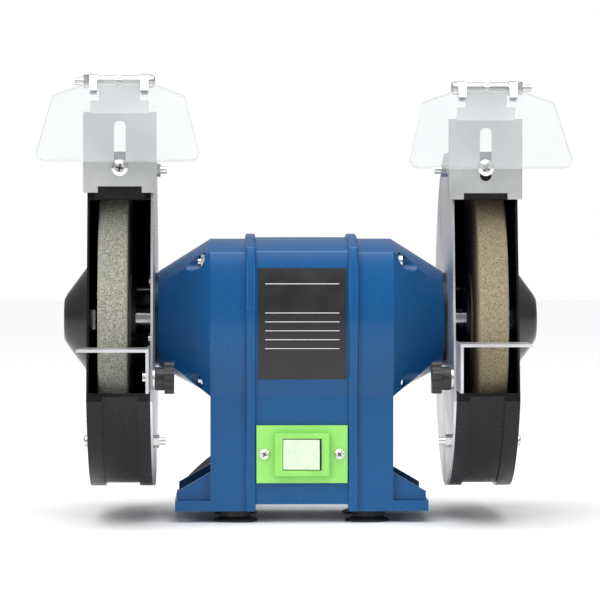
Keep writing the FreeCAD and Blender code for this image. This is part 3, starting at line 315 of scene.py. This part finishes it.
recess_proud = 0.00002
switch_screw_inset = 0.0036
switch_screw_drop = 0.092
arrester_screw_inset = 0.0056
screw_low, screw_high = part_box("switch_screws")
cross_recess_shade("switch_screw_recess_shade",
             [(side * (screw_high[0] - switch_screw_inset), screw_low[1] - recess_proud,
               spindle.z - switch_screw_drop) for side in (-1, 1)],
             0.0036, "frame", 30)
clamp_low, clamp_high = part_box("arrester_screws")
clamp_x = (clamp_high[0] - clamp_low[0]) / 2 - arrester_screw_inset
cross_recess_shade("arrester_screw_recess_shade",
             [(side * clamp_x, clamp_low[1] - recess_proud, (clamp_low[2] + clamp_high[2]) / 2)
              for side in (-1, 1)],
             0.0052, "frame", 12)

# ---- Grinding wheels: vitrified abrasive discs, coarse grey on the left and fine tan on the
# right, dressed true; grains of several tones stand out of a porous bond.


def abrasive(name, bond, grain_light, grain_dark, size):
    """Grains of mixed tone in a porous bond, with painted shade darkening its pores."""
    material = bpy.data.materials.new(name)
    material.use_nodes = True
    nodes = material.node_tree.nodes
    shader = nodes["Principled BSDF"]
    shader.inputs["Roughness"].default_value = 0.92
    place = nodes.new("ShaderNodeTexCoord")
    cells, pores = nodes.new("ShaderNodeTexVoronoi"), nodes.new("ShaderNodeTexNoise")
    cells.inputs["Scale"].default_value = size
    pores.inputs["Scale"].default_value = size * 0.9
    pores.inputs["Detail"].default_value = 3
    for texture in (cells, pores):
        link(nodes, place.outputs["Object"], texture.inputs["Vector"])
    split = nodes.new("ShaderNodeSeparateColor")
    link(nodes, cells.outputs["Color"], split.inputs["Color"])
    ramp = nodes.new("ShaderNodeValToRGB")
    ramp.color_ramp.elements[0].color = (*grain_dark, 1)
    ramp.color_ramp.elements[1].color = (*grain_light, 1)
    for position, colour in ((0.25, bond), (0.7, bond)):
        element = ramp.color_ramp.elements.new(position)
        element.color = (*colour, 1)
    link(nodes, split.outputs["Red"], ramp.inputs["Fac"])
    # Low pore values darken the colour down to 0.6: painted shade in the pores of the bond.
    pore_shade = nodes.new("ShaderNodeMapRange")
    pore_shade.inputs["From Min"].default_value = 0.38
    pore_shade.inputs["From Max"].default_value = 0.5
    pore_shade.inputs["To Min"].default_value = 0.6
    link(nodes, pores.outputs["Fac"], pore_shade.inputs["Value"])
    shade = nodes.new("ShaderNodeMix")
    shade.data_type = "RGBA"
    shade.blend_type = "MULTIPLY"
    shade.inputs["Factor"].default_value = 1
    link(nodes, ramp.outputs["Color"], shade.inputs["A"])
    link(nodes, pore_shade.outputs["Result"], shade.inputs["B"])
    link(nodes, shade.outputs["Result"], shader.inputs["Base Color"])
    height = nodes.new("ShaderNodeMath")
    height.operation = "SUBTRACT"
    link(nodes, pores.outputs["Fac"], height.inputs[0])
    link(nodes, cells.outputs["Distance"], height.inputs[1])
    relief = nodes.new("ShaderNodeBump")
    relief.inputs["Strength"].default_value = 0.9
    relief.inputs["Distance"].default_value = 0.0006
    link(nodes, height.outputs["Value"], relief.inputs["Height"])
    link(nodes, relief.outputs["Normal"], shader.inputs["Normal"])
    return material


dress(abrasive("grey_abrasive", (0.34, 0.34, 0.27), (0.5, 0.5, 0.42), (0.17, 0.17, 0.14), 1300),
      "left_grinding_wheel")
dress(abrasive("tan_abrasive", (0.35, 0.29, 0.18), (0.48, 0.41, 0.28), (0.2, 0.16, 0.09), 1500),
      "right_grinding_wheel")
dress(finish("blotter_card", (0.5, 0.42, 0.3), (0.6, 0.52, 0.4), rough=(0.8, 0.95), grain=2500, bump=0.2),
      "wheel_blotters")

# ---- Guards: pressed sheet drums and bulged covers in glossy black enamel, with a bright
# plated back plate bolted to each end casting through a black collar.
black_enamel = finish("black_enamel", (0.006, 0.006, 0.007), (0.012, 0.012, 0.013), rough=(0.18, 0.32),
                      coat=0.1, patch=18, grain=420, share=0.3, bump=0.05, depth=0.0004, mirror=0.22)
dress(black_enamel, "left_guard_drum", "right_guard_drum", "left_guard_cover", "right_guard_cover",
      "guard_collars")
plated_sheet = finish("plated_sheet", (0.6, 0.6, 0.63), (0.74, 0.74, 0.77), rough=(0.26, 0.42), metal=0.9,
                      patch=22, grain=1300, share=0.25, bump=0.06)
dress(plated_sheet, "left_guard_plate", "right_guard_plate", "bottom_cover", "capacitor_clip",
      "left_tool_rest", "right_tool_rest", "left_shield_clips", "right_shield_clips")

# ---- Spark arresters: brackets folded from galvanised sheet.  Each is clamped by one screw
# through a slot to the tab on its guard, and carries the eye shield's hinge at the top.
arrester_zinc = finish("arrester_zinc", (0.5, 0.51, 0.51), (0.64, 0.65, 0.65), rough=(0.28, 0.42), metal=0.85,
                       patch=26, grain=1500, share=0.25, bump=0.04)
dress(arrester_zinc, "left_spark_arrester", "right_spark_arrester")

# ---- Star knobs: moulded black plastic with lobes to grip, on the motor side of each guard.
# Each turns on the bolt that clamps its tool rest.
dress(black_plastic, "left_rest_knob", "right_rest_knob")

# ---- Eye shields: clear plastic plates held by two clips on a hinge bolt. They are made
# see-through by their opacity, which rises where the sheet is seen edge on; the grey that shows
# there is painted reflection.


def clear_sheet(name):
    """Clear plastic: nearly unseen face on, with a grey painted reflection that thickens where it is seen at
    a slant.
    """
    material = bpy.data.materials.new(name)
    material.use_nodes = True
    nodes = material.node_tree.nodes
    shader = nodes["Principled BSDF"]
    shader.inputs["IOR"].default_value = 1.2
    shader.inputs["Roughness"].default_value = 0.03
    shader.inputs["Transmission Weight"].default_value = 0.0
    shader.inputs["Metallic"].default_value = 0.0
    place = nodes.new("ShaderNodeTexCoord")
    smears = nodes.new("ShaderNodeTexNoise")
    smears.inputs["Scale"].default_value = 40
    link(nodes, place.outputs["Object"], smears.inputs["Vector"])
    # The grey base colour, shown more as the opacity rises towards edge on, is painted reflection.
    reflection_grey = nodes.new("ShaderNodeMix")
    reflection_grey.data_type = "RGBA"
    reflection_grey.inputs["A"].default_value = (0.5, 0.53, 0.54, 1)
    reflection_grey.inputs["B"].default_value = (0.62, 0.65, 0.66, 1)
    link(nodes, smears.outputs["Fac"], reflection_grey.inputs["Factor"])
    link(nodes, reflection_grey.outputs["Result"], shader.inputs["Base Color"])
    rim = nodes.new("ShaderNodeLayerWeight")
    rim.inputs["Blend"].default_value = 0.35
    cover = nodes.new("ShaderNodeMapRange")
    cover.inputs["To Min"].default_value = 0.16
    cover.inputs["To Max"].default_value = 0.75
    link(nodes, rim.outputs["Facing"], cover.inputs["Value"])
    link(nodes, cover.outputs["Result"], shader.inputs["Alpha"])
    return material


dress(clear_sheet("clear_sheet"), "left_eye_shield", "right_eye_shield")

# ---- Feet: soft black rubber cups, one screwed up into a boss at each corner of the base.
# They are matt, with a fine grain from the mould.
dress(finish("cup_rubber", (0.008, 0.008, 0.008), (0.016, 0.016, 0.016), rough=(0.45, 0.6), grain=1600,
             bump=0.1), "rubber_feet")

# ---- Motor insides: a core of stacked sheets, varnished windings, ground shaft and bearings,
# and the capacitor in its clip.  They are out of sight while the machine is closed.
dress(finish("laminations", (0.12, 0.12, 0.125), (0.2, 0.2, 0.2), rough=(0.4, 0.6), metal=0.8, grain=3000,
             bump=0.3), "stator_core", "rotor_core")
dress(finish("varnished_copper", (0.32, 0.12, 0.03), (0.5, 0.2, 0.06), rough=(0.25, 0.4), metal=0.7,
             grain=1200, bump=0.5), "stator_windings")
dress(finish("ground_steel", (0.5, 0.5, 0.5), (0.62, 0.62, 0.62), rough=(0.15, 0.3), metal=1.0, grain=2600),
      "shaft", "bearing_inner_rings", "bearing_outer_rings", "bearing_balls", "wheel_flanges")
dress(finish("capacitor_can", (0.62, 0.62, 0.6), (0.7, 0.7, 0.68), rough=(0.35, 0.5), grain=1500),
      "run_capacitor")

# ---- Lead: 1.69 m of 7 mm black sheathed cable with a moulded plug.  It leaves a strain
# relief at the back of the left end casting, comes down to the bench and is put away in a
# coil of six turns, three side by side in each of two layers.
cord_rubber = finish("cord_rubber", (0.008, 0.008, 0.008), (0.015, 0.015, 0.015), rough=(0.4, 0.55),
                     grain=1800, bump=0.08)
dress(cord_rubber, "cord_gland", "power_plug")
cord_width = 0.007
gland_low, gland_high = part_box("cord_gland")
coil_low, coil_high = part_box("cord_coil")
coil_middle = Vector(((coil_low[0] + coil_high[0]) / 2, (coil_low[1] + coil_high[1]) / 2, 0))
exit_point = Vector(((gland_low[0] + gland_high[0]) / 2, gland_high[1], (gland_low[2] + gland_high[2]) / 2))
nip = 0.0001
bench = cord_width / 2 + nip
coil_mean = 0.040
coil_top = coil_middle.y + coil_mean + cord_width
route = [exit_point, exit_point + Vector((0, 0.026, 0)), Vector((-0.061, 0.146, 0.033)),
         Vector((-0.081, 0.169, 0.013)), Vector((-0.086, 0.194, bench)), Vector((-0.079, 0.220, bench)),
         Vector((-0.062, 0.241, bench)), Vector((-0.037, coil_top, bench))]
points_a_turn = 16
climb_from = 0.7
turns = ((coil_mean + cord_width, 0), (coil_mean, 0), (coil_mean - cord_width, 0),
         (coil_mean - cord_width, 1), (coil_mean, 1), (coil_mean + cord_width, 1))
for turn_index, (radius, layer) in enumerate(turns):
    after_radius, after_layer = turns[min(turn_index + 1, len(turns) - 1)]
    for step in range(points_a_turn):
        share = step / points_a_turn
        slip = max(0.0, (share - climb_from) / (1 - climb_from))
        here = radius + (after_radius - radius) * slip
        level = bench + (layer + (after_layer - layer) * slip) * (cord_width - nip)
        angle = math.pi / 2 - 2 * math.pi * share
        route.append(coil_middle + Vector((here * math.cos(angle), here * math.sin(angle), level)))
cord_curve = bpy.data.curves.new("power_lead", "CURVE")
cord_curve.dimensions = "3D"
cord_curve.bevel_depth = cord_width / 2
cord_curve.bevel_resolution = 6
cord_curve.resolution_u = 6
spline = cord_curve.splines.new("NURBS")
spline.points.add(len(route) - 1)
for control, point in zip(spline.points, route):
    control.co = (*point, 1)
spline.order_u = 3
spline.use_endpoint_u = True
cord_curve.materials.append(cord_rubber)
lead = bpy.data.objects.new("power_lead", cord_curve)
bpy.context.scene.collection.objects.link(lead)
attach(lead, "frame")
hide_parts("power_cord", "cord_coil")
